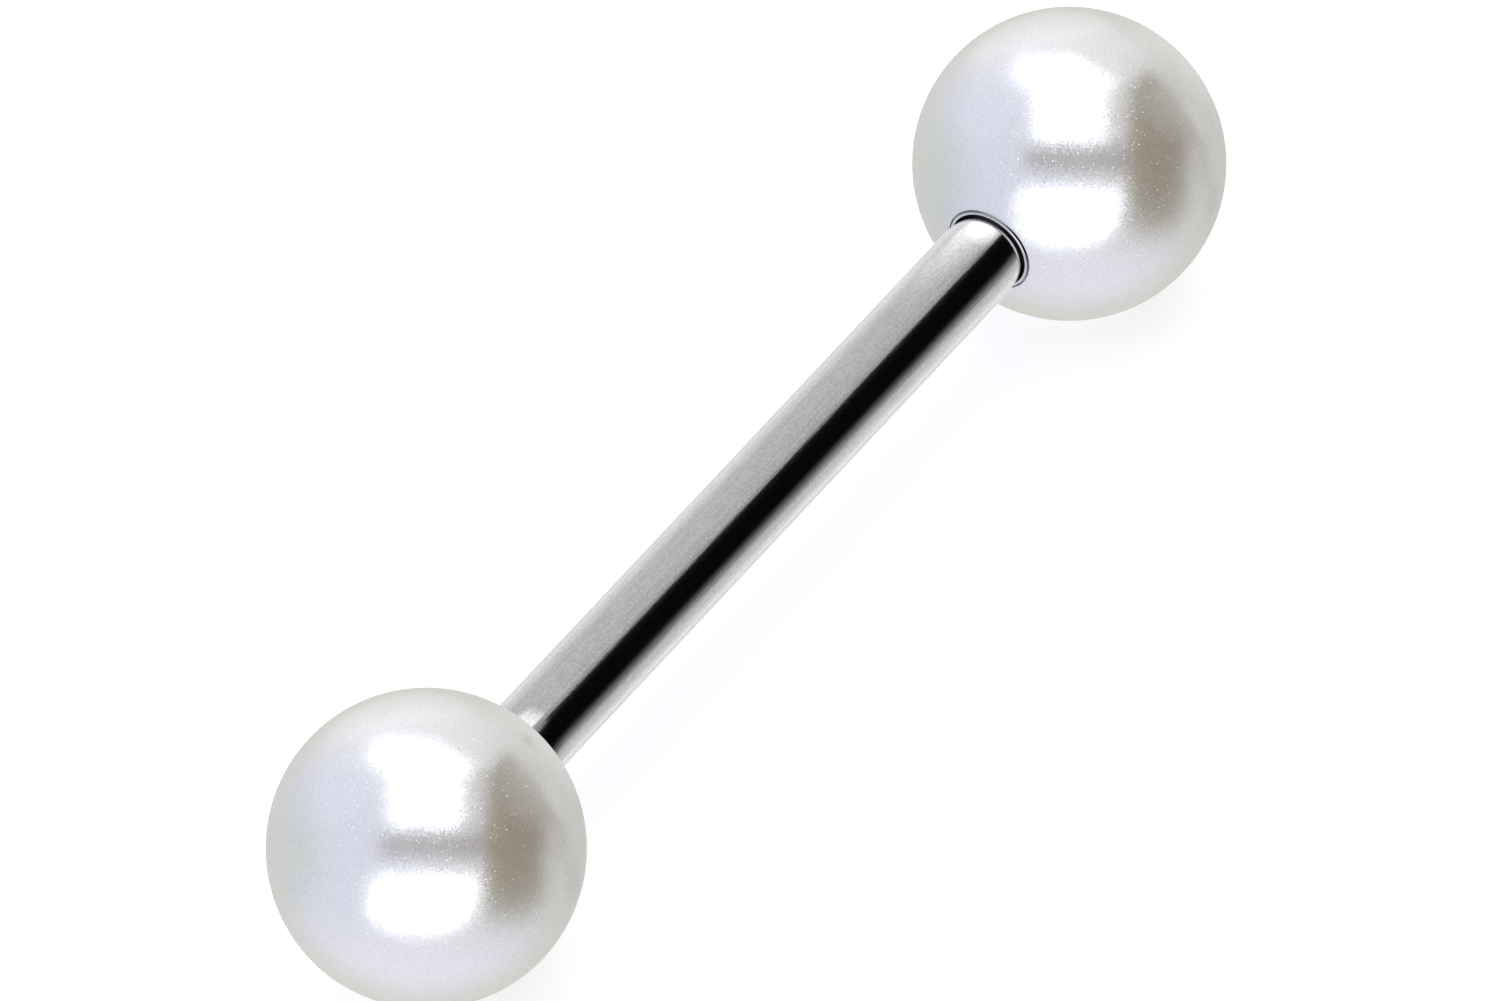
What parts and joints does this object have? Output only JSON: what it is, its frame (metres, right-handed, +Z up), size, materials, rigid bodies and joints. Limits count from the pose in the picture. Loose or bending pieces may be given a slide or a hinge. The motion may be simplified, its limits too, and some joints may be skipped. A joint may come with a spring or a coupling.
{
  "type": "nipple barbell",
  "caption": "Straight body-piercing barbell: a slim steel bar with a round imitation pearl screwed onto each threaded end by a metal socket.",
  "frame": {"origin": "on the surface that the barbell lies on, midway between the two pearls, straight under the bar's axis", "axes": "+X along the bar from the left pearl to the right pearl, +Z up from the surface, +Y across the bar"},
  "size_m": [0.0272, 0.0058, 0.0057],
  "materials": {
    "bar_steel": "tumbled satin, polished towards the noses",
    "socket_steel": "fine turned, bright lip",
    "pearl": "pearl lacquer, soft satin gloss"
  },
  "bodies": {
    "bar": {"bar": "bar_steel"},
    "left_ball": {"left_pearl": "pearl", "left_socket": "socket_steel"},
    "right_ball": {"right_pearl": "pearl", "right_socket": "socket_steel"}
  },
  "joints": [
    {"name": "left_ball_unscrew", "type": "slide", "parent": "bar", "child": "left_ball", "axis": [-1, 0, 0], "range_m": [0, 0.008]},
    {"name": "right_ball_unscrew", "type": "slide", "parent": "bar", "child": "right_ball", "axis": [1, 0, 0], "range_m": [0, 0.008]}
  ]
}
